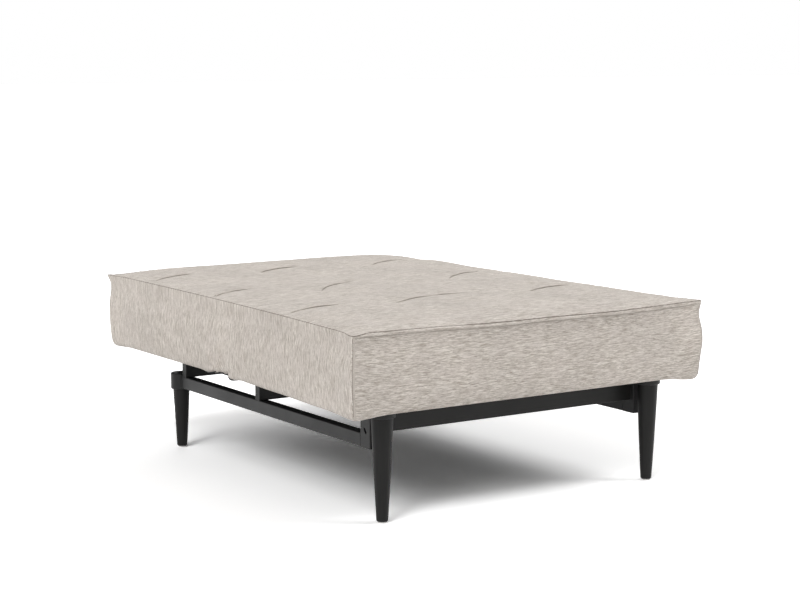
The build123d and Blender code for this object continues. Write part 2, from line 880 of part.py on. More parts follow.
def save_pad(name, form, direction, half, end_tube_y, cross_tube_y, holes):
    """Write every piece of the seat or the backrest pad."""
    save(f"{name}_cover", cover(form, direction))
    save(f"{name}_foam", foam_core(direction))
    save(f"{name}_felt", felt_sheet(direction))
    save(f"{name}_dust_cover", dust_sheet(direction, holes))
    tubes = pad_frame(direction, half, end_tube_y, cross_tube_y)
    places = ("fold", "end", "cross", "left", "right")
    for place, tube in zip(places, tubes):
        if place in ("left", "right"):
            tube -= hinge_bolt_holes(direction, (-mattress_width, mattress_width))
        else:
            tube = bored(tube, holes, frame_low - overrun, frame_low + tube_wall + overrun)
        save(f"{name}_{place}_tube", tube)
    start, end = spring_ends(direction, end_tube_y)
    save(f"{name}_springs", [zigzag_spring(x, start, end) for x in spring_places()])
    clips = [spring_clip(x, y) for x in spring_places() for y in (start, end)]
    save(f"{name}_spring_clips", clips)
    save(f"{name}_hinge_bolts", hinge_bolts(direction, half))


def save_base():
    """Write the legs, rails, brackets, boards and their fasteners."""
    front_low = pad_bottom - front_collar_height
    corners = [(side, y) for side in (-1, 1) for y in (front_leg_y, rear_leg_y)]
    save("leg_glides", [glide(side * leg_side, y) for side, y in corners])
    for side, name in ((-1, "left"), (1, "right")):
        x = side * leg_side
        save(f"front_leg_{name}", leg(side, front_leg_y, front_low, front_collar_height))
        save(f"rear_leg_{name}", leg(side, rear_leg_y, rear_collar_low, rear_collar_height))
        front = collar(x, front_leg_y, front_collar_radius, front_low, front_collar_height)
        save(f"front_collar_{name}", front)
        rear = collar(x, rear_leg_y, rear_collar_radius, rear_collar_low, rear_collar_height)
        save(f"rear_collar_{name}", rear)
        save(f"side_rail_{name}", rail(side))
        save(f"front_bracket_{name}", bracket(side))
    save("front_leg_studs", [front_leg_stud(side * leg_side, front_leg_y) for side in (-1, 1)])
    save("front_leg_nuts", [front_leg_nut(side * leg_side, front_leg_y) for side in (-1, 1)])
    save("rear_leg_bolts", [rear_leg_bolt(side * leg_side, rear_leg_y) for side in (-1, 1)])
    save("bracket_bolts", [bracket_bolt(side) for side in (-1, 1)])
    screws = [rail_screw(x, y) for side in (-1, 1) for x, y in rail_screw_places(side)]
    save("rail_screws", screws)

    cleat_fixings = [screw for place in cleat_places() for screw in cleat_screws(*place)]
    dowel_ends = (rail_inner - dowel_half, rail_inner + dowel_half)
    dowels = [dowel for side in (-1, 1) for dowel in front_dowels(side, dowel_ends)]
    save("front_board", board(rail_inner, front_board_y, pad_bottom) - dowels - cleat_fixings)
    save("middle_board", board(rail_outer, middle_board_y, pad_bottom) - screws - cleat_fixings)
    save("rear_board", board(rail_outer, rear_board_y, rear_board_top) - screws)
    save("board_dowels", dowels)
    save("seat_cleats", [cleat(*place) for place in cleat_places()])
    save("cleat_screws", cleat_fixings)
    buffer_y = rear_board_y + board_thickness / 2
    buffer_top = rear_board_top + buffer_thickness
    buffers = [
        upright(buffer_radius, rear_board_top, buffer_top, side * buffer_side, buffer_y)
        for side in (-1, 1)
    ]
    save("rest_buffers", buffers)


def save_hinges():
    """Write the fold hinges and their ratchets."""
    for side, name in ((-1, "left"), (1, "right")):
        save(f"seat_hinge_plate_{name}", seat_plate(side))
        save(f"back_hinge_plate_{name}", back_plate(side))
        save(f"pawl_{name}", pawl(side))
    save("fold_pins", [fold_pin(side) for side in (-1, 1)])
    save("fold_washers", [fold_washer(side) for side in (-1, 1)])
    save("pawl_pins", [pawl_pin(side) for side in (-1, 1)])


os.makedirs("parts", exist_ok=True)
whole_form = mattress_form()
front_cross_y = bracket_front_y + bracket_length - cross_tube_shift
rear_cross_y = rear_board_y + board_thickness / 2
rear_end_y = half_length - side_wall - tube_size
save_pad("seat", whole_form, -1, seat_frame_half_width, front_leg_y, front_cross_y, seat_screw_holes())
save_pad("back", whole_form, 1, back_frame_half_width, rear_end_y, rear_cross_y, [])
save("mattress_fold", fold_strip(whole_form))
save_hinges()
save_base()
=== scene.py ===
import json
import math

import bpy
import numpy as np
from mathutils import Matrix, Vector
from mathutils.bvhtree import BVHTree


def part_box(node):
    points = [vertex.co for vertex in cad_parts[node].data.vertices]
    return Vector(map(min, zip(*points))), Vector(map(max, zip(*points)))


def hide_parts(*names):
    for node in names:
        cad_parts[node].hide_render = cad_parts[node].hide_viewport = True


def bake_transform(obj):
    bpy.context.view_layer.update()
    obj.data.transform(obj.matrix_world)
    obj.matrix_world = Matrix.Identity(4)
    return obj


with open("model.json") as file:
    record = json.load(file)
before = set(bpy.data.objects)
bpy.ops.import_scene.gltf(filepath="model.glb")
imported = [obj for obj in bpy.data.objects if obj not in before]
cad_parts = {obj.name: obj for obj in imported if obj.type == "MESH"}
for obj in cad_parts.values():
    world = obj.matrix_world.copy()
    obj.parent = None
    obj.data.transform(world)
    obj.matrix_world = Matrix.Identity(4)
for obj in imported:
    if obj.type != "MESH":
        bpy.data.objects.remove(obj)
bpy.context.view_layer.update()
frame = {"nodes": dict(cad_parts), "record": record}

# Sizes in metres. The mattress follows the boxes of the two covers.
seat_low, seat_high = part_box("seat_cover")
back_low, back_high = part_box("back_cover")
EAR = 0.007
CROWN = 0.009
HALF_X = seat_high.x - EAR
HALF_Y = back_high.y - EAR
SEAM = seat_high.z - CROWN
BOTTOM = seat_low.z
DEPTH = SEAM - BOTTOM
FOLD_Y = (seat_high.y + back_low.y) / 2

# Form of the top, as heights over the nominal seam
PLATEAU = 0.0125
LEFT_RISE = 0.0090
LEFT_REAR_DROP = 0.003
RIGHT_DIP = 0.0045
RIGHT_SLOPE = 0.004
RIGHT_REAR_DROP = 0.002
RIGHT_WAVE = 0.0012
FRONT_DIP = 0.0030
FRONT_WAVE = 0.0007
FRONT_LEFT_RISE = 0.0028
FRONT_CORNER_RISE = 0.0065
NEAR_CORNER_DIP = 0.0036
REAR_RISE = 0.0092
REAR_LEFT_RISE = 0.0075
REAR_DROOP = 0.009

# Form of the sides
BOTTOM_EDGE = 0.008
BELLY = 0.0035
DRAW = 0.0050
DRAW_DROP = 0.030
DRAW_WIDTH = 0.026
FRONT_WIDEN = 0.004
REAR_WIDEN = 0.001
FOOT_WIDEN = 0.003
REAR_WAIST = 0.0025
REAR_INSET = 0.007
FRONT_CORNER = 0.006
REAR_CORNER = 0.030
REAR_SEAM_CORNER = 0.018
FRONT_EAR = 0.0055
REAR_EAR = 0.0045
SIDE_LIFT = 0.0055
FRONT_LOWER = 0.006
FRONT_TILT = 0.001

# Slack gathered under the fold
NOTCH_RISE = 0.0060
NOTCH_PEAK = 0.0045
REAR_SAG = 0.0045
FRONT_SAG = 0.0028
PINCH_PULL = 0.004
PINCH_MIDDLE = 0.004
RIPPLE = 0.0030
SLACK = 0.0016

# Mesh of the mattress, before and after it is smoothed
CELL = 0.014
EDGE_CELL = 0.004
EDGE_BAND = 0.012
SMOOTH_LEVELS = 2
PADDING_WAVE = 0.0009
RIM = 0.033
FOLD_RIM = 0.016
SUNK_BASE = 0.0016

# Cloth run: its length in steps, the pressure inside, and how far the cover may swell
CLOTH_STEPS = 14
PRESSURE = 0.35
SWELL = 0.0014

# Tufts: both ends of each pleat, as shares of the half width and the half length
TUFT_SHARES = (
    (-0.984, -0.515, -0.620, -0.419), (-0.358, -0.496, 0.118, -0.402), (0.433, -0.511, 0.796, -0.417),
    (-0.982, 0.054, -0.698, 0.157), (-0.440, -0.057, -0.131, 0.130), (0.380, -0.014, 0.744, 0.167),
    (-0.942, 0.623, -0.633, 0.739), (-0.284, 0.638, 0.016, 0.736), (0.380, 0.574, 0.667, 0.706),
)
TUFT_POINTS = 33
TUFT_BOW = 0.09
TUFT_TAIL = 0.07
TUFT_BORDER = 0.011
TUFT_DEPTH = 0.0010
TUFT_VALLEY = 0.0009
PLEAT_REACH = 0.030
PLEAT_SINK = 0.0040

# Section of a pleat: distance behind its line and height above the plain top
PLEAT_SECTION = (
    (0.0230, -0.0026), (0.0150, -0.0006), (0.0100, -0.0001), (0.0050, 0.0001), (0.0015, -0.0001),
    (-0.0003, -0.0005), (-0.0008, -0.0010), (-0.0002, -0.0017), (0.0015, -0.0046),
)

# Sewn line of a pleat, drawn dark with painted shade under its lap: how far before its lap, how far under
# the top, and how much deeper at its ends
THREAD_ASIDE = 0.0016
THREAD_DROP = 0.0013
THREAD_SINK = 0.0006

# Seams at the top edge, and the painted shadow line under the welt: height over the seam at the ends and at
# the sides, and distance off the cloth
UPPER_SEAM = (0.0005, 0.0, 0.0006)
UPPER_TILT = 0.3
WELT = (-0.0040, -0.0034, 0.0004)
WELT_SHADOW_LINE = (-0.0079, -0.0068, -0.0001)

# Corner seams with their stitches, drawn dark with painted shade of the seam, and the lining's hem under the
# fold
CORNER_SEAM_OFFSET = 0.0001
CORNER_SEAM_RADIUS = 0.0006
STITCH_RADIUS = 0.0005
STITCH_HALF = 0.0030
STITCH_INWARD = 0.0018
STITCH_RISE = 0.0012
HEM_FRONT = 0.070
HEM_REAR = 0.080
HEM_INSET = 0.012
HEM_HEIGHT = 0.010
HEM_OFFSET = 0.0018

# Lines that fade at their ends: least radius, what is added between, and the share that fades at each end
THREAD_RADII = (0.00030, 0.00052, 0.1, 0.4)
HEM_RADII = (0.0003, 0.0015, 0.2, 0.2)


def smoothstep(low, high, value):
    t = np.clip((value - low) / (high - low), 0, 1)
    return t * t * (3 - 2 * t)


def bump_at(value, middle, width):
    """A smooth rise and fall round a middle."""
    return np.exp(-(((value - middle) / width) ** 2))


def fade_ends(along, start, end):
    """1 along a line, falling to 0 over a share of it at its start and at its end."""
    return smoothstep(0, start, along) * smoothstep(1, 1 - end, along)


def new_object(name, data):
    """An object in the scene that holds a mesh, a lamp or a camera."""
    made = bpy.data.objects.new(name, data)
    bpy.context.scene.collection.objects.link(made)
    return made


def new_mesh(name, points, faces, weave):
    """A mesh that carries for each vertex its place in the fabric's pattern."""
    mesh = bpy.data.meshes.new(name)
    mesh.from_pydata(points, [], faces)
    mesh.validate()
    pattern = mesh.attributes.new("weave", "FLOAT_VECTOR", "POINT")
    pattern.data.foreach_set("vector", np.array(weave, np.float32).ravel())
    return mesh


def read_vectors(mesh, key):
    """The places or the normals of the vertices."""
    values = np.zeros(len(mesh.vertices) * 3)
    mesh.vertices.foreach_get(key, values)
    return values.reshape(-1, 3)


def write_points(mesh, points):
    mesh.vertices.foreach_set("co", points.astype(np.float32).ravel())
    mesh.update()


def shade_smooth(mesh):
    mesh.polygons.foreach_set("use_smooth", np.ones(len(mesh.polygons), bool))


# Mattress form
def seam_height(u, v):
    """Height of the top seam, or of its plane inside, above the nominal seam."""
    left = LEFT_RISE * (1 - math.exp(-(v + 1) / 0.42)) - LEFT_REAR_DROP * smoothstep(0.8, 1, v)
    right = -RIGHT_DIP - RIGHT_SLOPE * v + RIGHT_DIP * smoothstep(-0.7, -1, v)
    right -= RIGHT_REAR_DROP * smoothstep(0.7, 1, v)
    right += RIGHT_WAVE * math.sin(9 * v + 0.6)
    front = FRONT_CORNER_RISE * u ** 6 - FRONT_DIP + FRONT_WAVE * math.sin(9 * u + 1)
    front += FRONT_LEFT_RISE * smoothstep(0, -0.6, u)
    rear = REAR_LEFT_RISE * smoothstep(-0.95, -1, u) + REAR_RISE * (1 - u ** 6)
    rear -= REAR_DROOP * smoothstep(0.68, 1, u)
    side = left + (right - left) * (1 + u) / 2
    end = front + (rear - front) * (1 + v) / 2
    by_side, by_end = abs(u) ** 12 + 0.001, abs(v) ** 12 + 0.001
    dip = NEAR_CORNER_DIP * smoothstep(-0.92, -0.985, u) * smoothstep(-0.94, -0.99, v)
    return (side * by_side + end * by_end) / (by_side + by_end) - dip


def top_height(u, v):
    """Height of the crowned top."""
    rise = (1 - abs(u) ** 7) * (1 - abs(v) ** 9) ** 0.8
    edge = seam_height(u, v)
    return SEAM + edge + (PLATEAU - edge) * rise


def side_inset(w):
    """How far the side stands in from the seam at a share w of its height."""
    z = w * DEPTH
    turn = np.clip(1 - z / BOTTOM_EDGE, 0, 1)
    bottom = BOTTOM_EDGE * (1 - math.sqrt(max(0, 1 - turn ** 2)))
    belly = BELLY * (1 - np.clip(2 * w, 0, 1)) ** 2
    return bottom + belly + DRAW * math.exp(-(((z - DEPTH + DRAW_DROP) / DRAW_WIDTH) ** 2))


def round_corner(x, y, half_x, half_y, radius):
    """Moves a point of a square corner onto a round one."""
    over_x, over_y = abs(x) - (half_x - radius), abs(y) - (half_y - radius)
    if over_x <= 0 or over_y <= 0:
        return x, y
    shrink = max(over_x, over_y) / math.hypot(over_x, over_y)
    x = math.copysign(half_x - radius + over_x * shrink, x)
    return x, math.copysign(half_y - radius + over_y * shrink, y)


def mattress_point(u, v, w, face):
    """A point of the mattress: u across and v along from -1 to 1, w up from 0 to 1."""
    level = {"top": 1.0, "bottom": 0.0}.get(face, w)
    inset = side_inset(level)
    half_x = HALF_X - inset + FRONT_WIDEN * smoothstep(0.3, -0.9, v)
    half_x += REAR_WIDEN * smoothstep(0.2, 0.9, v) * smoothstep(0, -1, u)
    half_x += FOOT_WIDEN * (1 - level) ** 3 * smoothstep(0, 1, u) * smoothstep(0.3, -0.9, v)
    half_x -= REAR_WAIST * smoothstep(0, -1, u) * smoothstep(0.5, 1, v) * bump_at(level, 0.55, 0.3)
    half_y = HALF_Y - inset - (REAR_INSET if v > 0 else 0)
    near_seam = smoothstep(0.86, 0.97, level)
    rear_radius = REAR_CORNER + (REAR_SEAM_CORNER - REAR_CORNER) * near_seam
    radius = FRONT_CORNER if v < 0 else rear_radius
    x, y = round_corner(u * half_x, v * half_y, half_x, half_y, radius)
    corner = smoothstep(0.86, 1, abs(u)) * smoothstep(0.88, 1, abs(v))
    ear = (FRONT_EAR if v < 0 else REAR_EAR) * (0.35 + 0.65 * smoothstep(0, 0.5, level)) * corner
    x, y = x + ear * np.sign(u), y + ear * np.sign(v)
    if face == "top":
        return x, y, top_height(u, v)
    border = smoothstep(0.90, 1, abs(u))
    lift = SIDE_LIFT * border * smoothstep(-0.85, -0.3, v) * smoothstep(1, 0.8, v)
    lift -= (FRONT_LOWER + FRONT_TILT * u) * smoothstep(0.8, 1, abs(u)) * smoothstep(-0.8, -1, v)
    if face == "bottom":
        return x, y, BOTTOM + lift
    return x, y, BOTTOM + w * (DEPTH + seam_height(u, v)) + lift * (1 - w) ** 3


def stops(half, edge):
    """Even steps of about one cell from -half to half, with a tight pair at each edge."""
    count = 2 * round((half - edge) / CELL)
    inner = np.linspace(edge - half, half - edge, count + 1)
    return np.concatenate([[-half], inner, [half]]) / half


def mattress_cage():
    """A closed box of even cells, bent into the form of the mattress.

    The pattern is folded down over the edges, so that it runs on from the top onto the sides.
    """
    along_x, along_y = stops(HALF_X, EDGE_CELL), stops(HALF_Y, EDGE_CELL)
    along_z = (stops(DEPTH / 2, EDGE_CELL) + 1) / 2
    nx, ny, nz = len(along_x) - 1, len(along_y) - 1, len(along_z) - 1
    index, points, faces, weave = {}, [], [], []

    def vertex(i, j, k):
        if (i, j, k) not in index:
            u, v, w = along_x[i], along_y[j], along_z[k]
            edge_x, edge_y = i in (0, nx), j in (0, ny)
            face = "side" if edge_x or edge_y else "top" if k == nz else "bottom"
            x, y, z = mattress_point(u, v, w, face)
            index[i, j, k] = len(points)
            points.append((x, y, z))
            drop = SEAM - z if k < nz else 0
            over_x = drop if edge_x else 0
            over_y = drop if edge_y and not edge_x else 0
            weave.append((x + math.copysign(over_x, u), y + math.copysign(over_y, v), z))
        return index[i, j, k]

    def quads(first, second, corner):
        for a in range(first):
            for b in range(second):
                faces.append([corner(a, b), corner(a + 1, b), corner(a + 1, b + 1), corner(a, b + 1)])

    quads(nx, ny, lambda a, b: vertex(a, b, nz))
    quads(ny, nx, lambda a, b: vertex(b, a, 0))
    quads(nx, nz, lambda a, b: vertex(a, 0, b))
    quads(nz, nx, lambda a, b: vertex(b, ny, a))
    quads(ny, nz, lambda a, b: vertex(nx, a, b))
    quads(nz, ny, lambda a, b: vertex(0, b, a))
    return new_mesh("mattress", points, faces, weave)


def tuft_paths():
    """Points along each curved pleat, in the plane of the top."""
    along = np.linspace(-TUFT_TAIL, 1 + TUFT_TAIL, TUFT_POINTS)
    paths = []
    for start_u, start_v, end_u, end_v in TUFT_SHARES:
        start = np.array([start_u * HALF_X, start_v * HALF_Y])
        run = np.array([end_u * HALF_X, end_v * HALF_Y]) - start
        aside = np.array([-run[1], run[0]])
        bow = 4 * TUFT_BOW * along * (1 - along)
        path = start + along[:, None] * run + bow[:, None] * aside
        paths.append(path[np.abs(path[:, 0]) < HALF_X - TUFT_BORDER])
    return paths


def near_tufts(points):
    """Distance of each point to its nearest pleat, which side it lies on, and how far along."""
    best = np.full(len(points), 1.0)
    side = np.zeros(len(points))
    along = np.zeros(len(points))
    for path in tuft_paths():
        for count in range(len(path) - 1):
            start, end = path[count], path[count + 1]
            run = end - start
            offset = points[:, :2] - start
            t = np.clip(offset @ run / (run @ run), 0, 1)
            away = offset - t[:, None] * run
            distance = np.hypot(away[:, 0], away[:, 1])
            closer = distance < best
            best[closer] = distance[closer]
            cross = run[0] * offset[:, 1] - run[1] * offset[:, 0]
            side[closer] = np.sign(cross[closer])
            along[closer] = (count + t[closer]) / (len(path) - 1)
    return best, side, along


def inflate(piece, held):
    """Lets the cover swell between the points where it is held, then keeps the result."""
    before = read_vectors(piece.data, "co")
    group = piece.vertex_groups.new(name="held")
    group.add([int(n) for n in np.nonzero(held)[0]], 1.0, "REPLACE")
    cloth = piece.modifiers.new("Cloth", "CLOTH")
    cloth.settings.quality = 4
    cloth.settings.mass = 0.4
    cloth.settings.tension_stiffness = 12
    cloth.settings.compression_stiffness = 12
    cloth.settings.bending_stiffness = 0.8
    cloth.settings.shrink_min = -0.012
    cloth.settings.use_pressure = True
    cloth.settings.uniform_pressure_force = PRESSURE
    cloth.settings.vertex_group_mass = "held"
    cloth.settings.pin_stiffness = 2.0
    cloth.settings.effector_weights.gravity = 0
    cloth.point_cache.frame_end = CLOTH_STEPS
    scene = bpy.context.scene
    for step in range(1, CLOTH_STEPS + 1):
        scene.frame_set(step)
    deps = bpy.context.evaluated_depsgraph_get()
    result = piece.evaluated_get(deps).to_mesh()
    after = read_vectors(result, "co")
    piece.evaluated_get(deps).to_mesh_clear()
    piece.modifiers.remove(cloth)
    scene.frame_set(1)
    move = after - before
    length = np.linalg.norm(move, axis=1, keepdims=True)
    move *= np.minimum(1, SWELL / np.maximum(length, 1e-9))
    write_points(piece.data, before + move)
    piece.vertex_groups.remove(group)


def smoothed(mesh):
    """The mesh after subdivision, with its attributes."""
    carrier = new_object("carrier", mesh)
    modifier = carrier.modifiers.new("Smooth", "SUBSURF")
    modifier.levels = SMOOTH_LEVELS
    modifier.render_levels = SMOOTH_LEVELS
    deps = bpy.context.evaluated_depsgraph_get()
    result = bpy.data.meshes.new_from_object(carrier.evaluated_get(deps))
    bpy.data.objects.remove(carrier)
    return result


def fold_gather(points, normals):
    """The slack of the lower cover, gathered up under the fold on both sides."""
    x, y, z = points.T
    side = smoothstep(HALF_X - 0.045, HALF_X - 0.02, np.abs(x))
    across = y - FOLD_Y
    low = bump_at(np.maximum(z - BOTTOM - 0.006, 0), 0, 0.022)
    notch = smoothstep(-0.044, -0.014, across) * smoothstep(0.062, 0.036, across)
    sag = REAR_SAG * bump_at(across, 0.075, 0.024) + FRONT_SAG * bump_at(across, -0.055, 0.018)
    lift = side * low * (NOTCH_RISE * notch + NOTCH_PEAK * bump_at(across, 0.038, 0.0030) - sag)
    pull = PINCH_PULL * side * bump_at(z, BOTTOM, 0.040) * bump_at(across, PINCH_MIDDLE, 0.024)
    height = z - BOTTOM + 0.004
    fan = np.arctan2(across - PINCH_MIDDLE, height)
    reach = np.hypot(across - PINCH_MIDDLE, height)
    near = side * smoothstep(0.010, 0.028, reach) * bump_at(reach, 0, 0.062)
    ripple = RIPPLE * near * np.cos(15 * fan + 0.4) * (1 + 0.4 * np.sin(5 * fan + 1.0))
    slack = SLACK * side * bump_at(reach, 0.075, 0.04) * np.cos(7 * fan)
    moved = points.copy()
    moved[:, 2] += lift
    moved[:, 0] -= np.sign(x) * pull
    return moved + normals * (ripple + slack)[:, None]


def soft_waves(points):
    """Long shallow waves of padding, a few tenths of a millimetre to about two."""
    x, y, z = points.T
    waves = np.sin(9.1 * x + 5.3 * y + 0.7) * np.sin(7.7 * y - 3.1 * x + 1.9)
    waves += 0.6 * np.sin(17.0 * x - 11.0 * y + 0.3) * np.sin(13.0 * y + 9.0 * z + 2.2)
    waves += 0.35 * np.sin(31.0 * y + 23.0 * z) * np.sin(29.0 * x + 19.0 * z + 1.1)
    return PADDING_WAVE * waves


def add_detail(mesh):
    """Padding waves, sunk tufts, the gathered fold, and the flat base inside its rim."""
    points, normals = read_vectors(mesh, "co"), read_vectors(mesh, "normal")
    x, y, _ = points.T
    on_top = smoothstep(0.4, 0.9, normals[:, 2])
    under = normals[:, 2] < -0.7
    points = points + normals * (soft_waves(points) * ~under)[:, None]
    distance, side, along = near_tufts(points)
    ends = fade_ends(along, 0.15, 0.15) * on_top
    crease = bump_at(distance, 0, 0.0045) * ends
    valley = bump_at(distance, 0, 0.026) * ends * np.where(side > 0, 0.7, 1.0)
    points[:, 2] -= 0.6 * TUFT_DEPTH * crease + TUFT_VALLEY * valley
    points = fold_gather(points, normals)
    recess = (np.abs(x) < HALF_X - RIM) & under
    seat_hollow = (y > -HALF_Y + RIM) & (y < FOLD_Y - FOLD_RIM)
    back_hollow = (y < HALF_Y - RIM) & (y > FOLD_Y + FOLD_RIM)
    points[recess & (seat_hollow | back_hollow), 2] = BOTTOM + SUNK_BASE
    write_points(mesh, points)
    shade_smooth(mesh)


def mattress():
    """The whole soft body as one piece."""
    cage = mattress_cage()
    points = read_vectors(cage, "co")
    distance, _, _ = near_tufts(points)
    top = points[:, 2] > SEAM + 0.001
    inner_x = np.abs(points[:, 0]) < HALF_X - EDGE_BAND
    inner_y = np.abs(points[:, 1]) < HALF_Y - EDGE_BAND
    border = top & ~(inner_x & inner_y)
    points[:, 2] -= 0.5 * TUFT_DEPTH * np.where(top & ~border, bump_at(distance, 0, CELL), 0)
    write_points(cage, points)
    piece = new_object("mattress", cage)
    tufted = top & (distance < 0.6 * CELL)
    base = points[:, 2] < BOTTOM + EDGE_BAND
    inflate(piece, border | tufted | base)
    piece.data = smoothed(cage)
    add_detail(piece.data)
    return piece


# Seams, stitches and pleats
def surface_of(piece):
    """A tree for finding points on the skin of a piece."""
    mesh = piece.data
    vertices = [vertex.co for vertex in mesh.vertices]
    return BVHTree.FromPolygons(vertices, [polygon.vertices for polygon in mesh.polygons])


def on_skin(tree, point, outward, offset):
    """The point where a line from outside meets the skin, moved out by an offset."""
    outward = Vector(outward).normalized()
    place, _, _, _ = tree.ray_cast(Vector(point) + 0.04 * outward, -outward, 0.09)
    return (place if place else Vector(point)) + offset * outward


def perimeter(steps_x, steps_y):
    """Shares u and v round the mattress, with the outward direction at each."""
    ring = [(2 * n / steps_x - 1, -1, 0, -1) for n in range(steps_x)]
    ring += [(1, 2 * n / steps_y - 1, 1, 0) for n in range(steps_y)]
    ring += [(1 - 2 * n / steps_x, 1, 0, 1) for n in range(steps_x)]
    ring += [(-1, 1 - 2 * n / steps_y, -1, 0) for n in range(steps_y)]
    shares = []
    for u, v, out_x, out_y in ring:
        corner = smoothstep(0.975, 1, abs(u)) * smoothstep(0.98, 1, abs(v))
        shares.append((u, v, (out_x + corner * np.sign(u), out_y + corner * np.sign(v))))
    return shares


def end_shares(v):
    """Shares along the front or the rear edge, from near one corner to near the other."""
    return [(u, v, (0, v)) for u in np.linspace(-0.988, 0.988, 200)]


def end_share(u, v):
    """1 along the front and rear edges, 0 along the sides, easing in from the corners."""
    return smoothstep(0.985, 0.90, abs(u)) if abs(v) == 1 else 0.0


def seam_line(tree, shares, levels, tilt=0.0):
    """A line on the skin along the edge, at the levels of its kind."""
    end_level, side_level, offset = levels
    line = []
    for u, v, outward in shares:
        x, y, z = mattress_point(u, v, 1.0, "side")
        z += side_level + (end_level - side_level) * end_share(u, v)
        line.append(on_skin(tree, (x, y, z), (*outward, tilt), offset))
    line = np.array(line)
    for _ in range(2):
        line[1:-1] = 0.5 * line[1:-1] + 0.25 * (line[2:] + line[:-2])
    return line


def tube(name, lines, radii_of, sides=6):
    """A mesh tube along each line; radii_of gives its half width and half height."""
    points, faces, weave = [], [], []
    for line in lines:
        base, count = len(points), len(line)
        radii = radii_of(line)
        for n in range(count):
            ahead, behind = line[min(n + 1, count - 1)], line[max(n - 1, 0)]
            tangent = Vector(ahead - behind).normalized()
            upright = Vector((0, 0, 1)) if abs(tangent.z) < 0.9 else Vector((1, 0, 0))
            across = tangent.cross(upright).normalized()
            upright = across.cross(tangent)
            wide, high = radii[n]
            for m in range(sides):
                angle = 2 * math.pi * m / sides
                offset = across * (wide * math.cos(angle)) + upright * (high * math.sin(angle))
                point = Vector(line[n]) + offset
                points.append(tuple(point))
                weave.append((line[n][0], line[n][1] + point.z, point.z))
        for n in range(count - 1):
            a, b = base + n * sides, base + (n + 1) * sides
            for m in range(sides):
                after = (m + 1) % sides
                faces.append([a + m, b + m, b + after, a + after])
        faces.append([base + m for m in range(sides)])
        faces.append([base + (count - 1) * sides + m for m in reversed(range(sides))])
    mesh = new_mesh(name, points, faces, weave)
    shade_smooth(mesh)
    return new_object(name, mesh)


def round_radii(radius):
    return np.stack([radius, radius], 1)


def even_radii(radius):
    return lambda line: round_radii(np.full(len(line), radius))


def faded_radii(least, more, start, end):
    """A thin line that is thicker by more between its fading ends."""
    return lambda line: round_radii(least + more * fade_ends(np.linspace(0, 1, len(line)), start, end))


def welt_radii(line):
    """The welt is a flat roll that rises out of the cloth near each corner."""
    rise = smoothstep(HALF_X - 0.006, HALF_X - 0.040, np.abs(line[:, 0]))
    return np.stack([0.0006 + 0.0020 * rise, 0.0010 + 0.0025 * rise], 1)


def lower_radii(line):
    """The shadow line under the welt, fading into each corner."""
    rise = smoothstep(HALF_X - 0.004, HALF_X - 0.040, np.abs(line[:, 0]))
    return np.stack([0.0002 + 0.0008 * rise, 0.0002 + 0.0012 * rise], 1)


def stitched_radii(line):
    """A sewn line, drawn dark as thread with painted shade of its crease, whose thread shows more at each
    stitch, and more along the front and rear.
    """
    radius = 0.00062 + 0.00024 * np.sin(np.arange(len(line)) * 2.1)
    radius += 0.00035 * smoothstep(HALF_Y - 0.015, HALF_Y - 0.005, np.abs(line[:, 1]))
    return round_radii(radius)


def corner_seam(tree, x_side, y_side):
    """The sewn edge down one corner of the mattress."""
    line = []
    for w in np.linspace(0.06, 0.965, 60):
        point = mattress_point(x_side, y_side, w, "side")
        line.append(on_skin(tree, point, (x_side, y_side, 0), CORNER_SEAM_OFFSET))
    return np.array(line)


def corner_stitches(line):
    """Short stitches across a corner seam."""
    stitches = []
    for x, y, z in line[2:-2:3]:
        middle = Vector((x, y, z))
        inward = Vector((-np.sign(x), -np.sign(y), 0)).normalized()
        half = Vector((-inward.y, inward.x, 0)) * STITCH_HALF + Vector((0, 0, STITCH_RISE))
        turn = inward * STITCH_INWARD
        stitches.append(np.array([middle + turn + half, middle, middle + turn - half]))
    return stitches


def fold_hem(tree, side):
    """The dark edge of the lining that shows under the gathered fold."""
    line = []
    for y in np.linspace(FOLD_Y - HEM_FRONT, FOLD_Y + HEM_REAR, 60):
        point = (side * (HALF_X - HEM_INSET), y, BOTTOM + HEM_HEIGHT)
        line.append(on_skin(tree, point, (side, 0, -0.9), HEM_OFFSET))
    return np.array(line)


def tuft_frames(tree):
    """Points along each pleat with its aside direction, plain height and strength."""
    rows = []
    for path in tuft_paths():
        row = []
        for n, (x, y) in enumerate(path):
            run = path[min(n + 1, len(path) - 1)] - path[max(n - 1, 0)]
            aside = np.array([-run[1], run[0]]) / np.hypot(*run)
            heights = []
            for reach in (-PLEAT_REACH, PLEAT_REACH):
                place = (x + reach * aside[0], y + reach * aside[1], SEAM + PLATEAU)
                heights.append(on_skin(tree, place, (0, 0, 1), 0).z)
            share = n / (len(path) - 1)
            strength = smoothstep(-0.05, 0.30, share) * smoothstep(1.05, 0.65, share)
            row.append((np.array([x, y]), aside, sum(heights) / 2, float(strength)))
        rows.append(row)
    return rows


def pleats(frames):
    """The folds of cloth that lap over the sewn lines."""
    points, faces = [], []
    width = len(PLEAT_SECTION)
    for row in frames:
        base = len(points)
        for place, aside, height, strength in row:
            sunk = height + (strength - 1) * PLEAT_SINK
            for reach, rise in PLEAT_SECTION:
                points.append((*(place + aside * reach), sunk + rise * strength))
        for n in range(len(row) - 1):
            for m in range(width - 1):
                a = base + n * width + m
                faces.append([a, a + width, a + width + 1, a + 1])
    mesh = new_mesh("tuft_pleats", points, faces, points)
    shade_smooth(mesh)
    return new_object("tuft_pleats", mesh)


def pleat_threads(frames):
    """The sewn lines under the laps of the pleats, drawn dark as thread with painted shade of the undercut.
    """
    lines = []
    for row in frames:
        line = []
        for place, aside, height, strength in row:
            sunk = height - THREAD_DROP + (strength - 1) * THREAD_SINK
            line.append((*(place - aside * THREAD_ASIDE), sunk))
        lines.append(np.array(line))
    return lines


